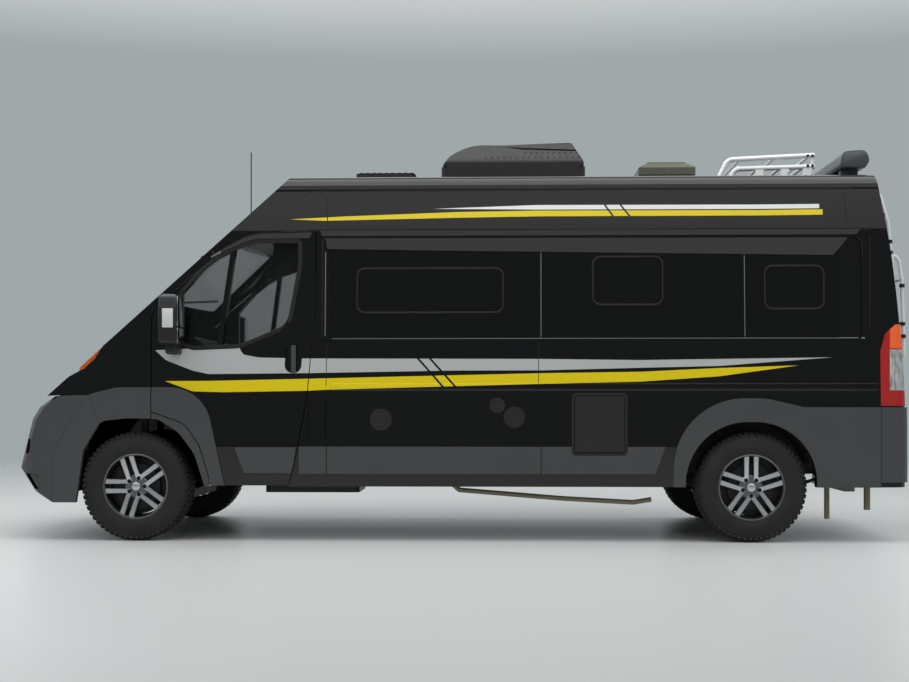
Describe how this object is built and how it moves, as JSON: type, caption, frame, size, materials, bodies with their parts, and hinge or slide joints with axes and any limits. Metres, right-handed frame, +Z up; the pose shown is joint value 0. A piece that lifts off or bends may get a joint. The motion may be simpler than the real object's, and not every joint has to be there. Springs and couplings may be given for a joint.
{
  "type": "camper van",
  "caption": "High-roofed black camper van with striped flanks, dark side windows, grey cladding, hinged doors, alloy wheels, roof air conditioner, luggage rack, awning case and rear ladder.",
  "frame": {"origin": "bottom centre of the whole van's bounding box, on the ground", "axes": "+X towards the tail, +Y towards the van's right side, +Z up"},
  "size_m": [6.0328, 2.508, 2.7515],
  "materials": {
    "black_paint": "deep gloss",
    "grey_cladding": "fine-grained satin",
    "black_plastic": "satin",
    "privacy_glass": "dark, polished",
    "clear_glass": "polished",
    "lamp_glass": "clear over a reflector",
    "red_lamp": "gloss",
    "tyre": "matt",
    "alloy": "silver lacquer",
    "silver_tube": "satin",
    "awning_case": "satin",
    "underbody": "matt",
    "steel": "dull",
    "iron": "rough",
    "smoked": "smoked, translucent",
    "seat_cloth": "woven",
    "cabin_board": "satin laminate"
  },
  "bodies": {
    "body": {"air_conditioner": "black_plastic", "body_cladding": "grey_cladding", "cab_seats": "seat_cloth", "chassis_rails": "underbody", "dashboard": "black_plastic", "engine": "iron", "exhaust": "steel", "floor_pan": "underbody", "front_bumper": "grey_cladding", "front_frame": "black_paint", "front_grille": "black_plastic", "front_subframe": "underbody", "front_wings": "black_paint", "headlamps": "lamp_glass", "hitch_receiver": "steel", "left_side_wall": "black_paint", "living_units": "cabin_board", "luggage_rack": "silver_tube", "rear_awning": "awning_case", "rear_axle": "underbody", "rear_bumper": "grey_cladding", "right_side_wall": "black_paint", "roof": "black_paint", "roof_fittings": "black_plastic", "side_fittings": "black_plastic", "side_glass": "privacy_glass", "sills": "underbody", "sliding_door": "black_paint", "tail_lamps": "red_lamp", "waste_tank": "black_plastic", "wheel_boxes": "underbody", "windscreen": "clear_glass"},
    "left_cab_door": {"left_cab_door": "black_paint", "left_door_glass": "clear_glass", "left_door_trim": "grey_cladding", "left_mirror": "black_plastic"},
    "left_rear_door": {"left_rear_door": "black_paint", "left_rear_glass": "privacy_glass", "ladder": "silver_tube"},
    "left_knuckle": {"left_knuckle": "iron"},
    "left_front_wheel": {"left_front_tyre": "tyre", "left_front_rim": "alloy"},
    "left_rear_wheel": {"left_rear_tyre": "tyre", "left_rear_rim": "alloy"},
    "right_cab_door": {"right_cab_door": "black_paint", "right_door_glass": "clear_glass", "right_door_trim": "grey_cladding", "right_mirror": "black_plastic"},
    "right_rear_door": {"right_rear_door": "black_paint", "right_rear_glass": "privacy_glass"},
    "right_knuckle": {"right_knuckle": "iron"},
    "right_front_wheel": {"right_front_tyre": "tyre", "right_front_rim": "alloy"},
    "right_rear_wheel": {"right_rear_tyre": "tyre", "right_rear_rim": "alloy"},
    "bonnet": {"bonnet": "black_paint"},
    "fuel_flap": {"fuel_flap": "black_paint"},
    "service_hatch_lid": {"service_hatch_lid": "black_plastic"},
    "vent_lid": {"vent_lid": "smoked"}
  },
  "joints": [
    {"name": "left_cab_door_hinge", "type": "hinge", "parent": "body", "child": "left_cab_door", "pos_m": [-1.92344, -1.03, 0.9], "axis": [0, 0, -1], "range_deg": [0, 68]},
    {"name": "right_cab_door_hinge", "type": "hinge", "parent": "body", "child": "right_cab_door", "pos_m": [-1.92344, 1.03, 0.9], "axis": [0, 0, 1], "range_deg": [0, 68]},
    {"name": "bonnet_hinge", "type": "hinge", "parent": "body", "child": "bonnet", "pos_m": [-2.13544, 0, 1.539], "axis": [0, 1, 0], "range_deg": [0, 58]},
    {"name": "left_rear_door_hinge", "type": "hinge", "parent": "body", "child": "left_rear_door", "pos_m": [2.99056, -0.95, 0.7], "axis": [0.1005, 0, -0.9949], "range_deg": [0, 135]},
    {"name": "right_rear_door_hinge", "type": "hinge", "parent": "body", "child": "right_rear_door", "pos_m": [2.99056, 0.95, 0.7], "axis": [-0.1005, 0, 0.9949], "range_deg": [0, 135]},
    {"name": "fuel_flap_hinge", "type": "hinge", "parent": "body", "child": "fuel_flap", "pos_m": [-0.81144, -1.027, 0.806], "axis": [0, 0, 1], "range_deg": [0, 90]},
    {"name": "service_hatch_hinge", "type": "hinge", "parent": "body", "child": "service_hatch_lid", "pos_m": [0.81656, -1.033, 0.77], "axis": [0, 0, -1], "range_deg": [0, 120]},
    {"name": "vent_lid_hinge", "type": "hinge", "parent": "body", "child": "vent_lid", "pos_m": [1.72056, 0, 2.524], "axis": [0, 1, 0], "range_deg": [0, 60]},
    {"name": "left_steering", "type": "hinge", "parent": "body", "child": "left_knuckle", "pos_m": [-2.06944, -0.75, 0.358], "axis": [0, 0, 1], "range_deg": [-35, 35]},
    {"name": "right_steering", "type": "hinge", "parent": "body", "child": "right_knuckle", "pos_m": [-2.06944, 0.75, 0.358], "axis": [0, 0, 1], "range_deg": [-35, 35]},
    {"name": "left_front_wheel_spin", "type": "hinge", "parent": "left_knuckle", "child": "left_front_wheel", "pos_m": [-2.06944, -0.905, 0.358], "axis": [0, 1, 0], "continuous": true},
    {"name": "left_rear_wheel_spin", "type": "hinge", "parent": "body", "child": "left_rear_wheel", "pos_m": [1.96556, -0.905, 0.358], "axis": [0, 1, 0], "continuous": true},
    {"name": "right_front_wheel_spin", "type": "hinge", "parent": "right_knuckle", "child": "right_front_wheel", "pos_m": [-2.06944, 0.905, 0.358], "axis": [0, 1, 0], "continuous": true},
    {"name": "right_rear_wheel_spin", "type": "hinge", "parent": "body", "child": "right_rear_wheel", "pos_m": [1.96556, 0.905, 0.358], "axis": [0, 1, 0], "continuous": true}
  ],
  "couplings": [
    {"joint": "right_steering", "follows": "left_steering", "ratio": 1}
  ]
}
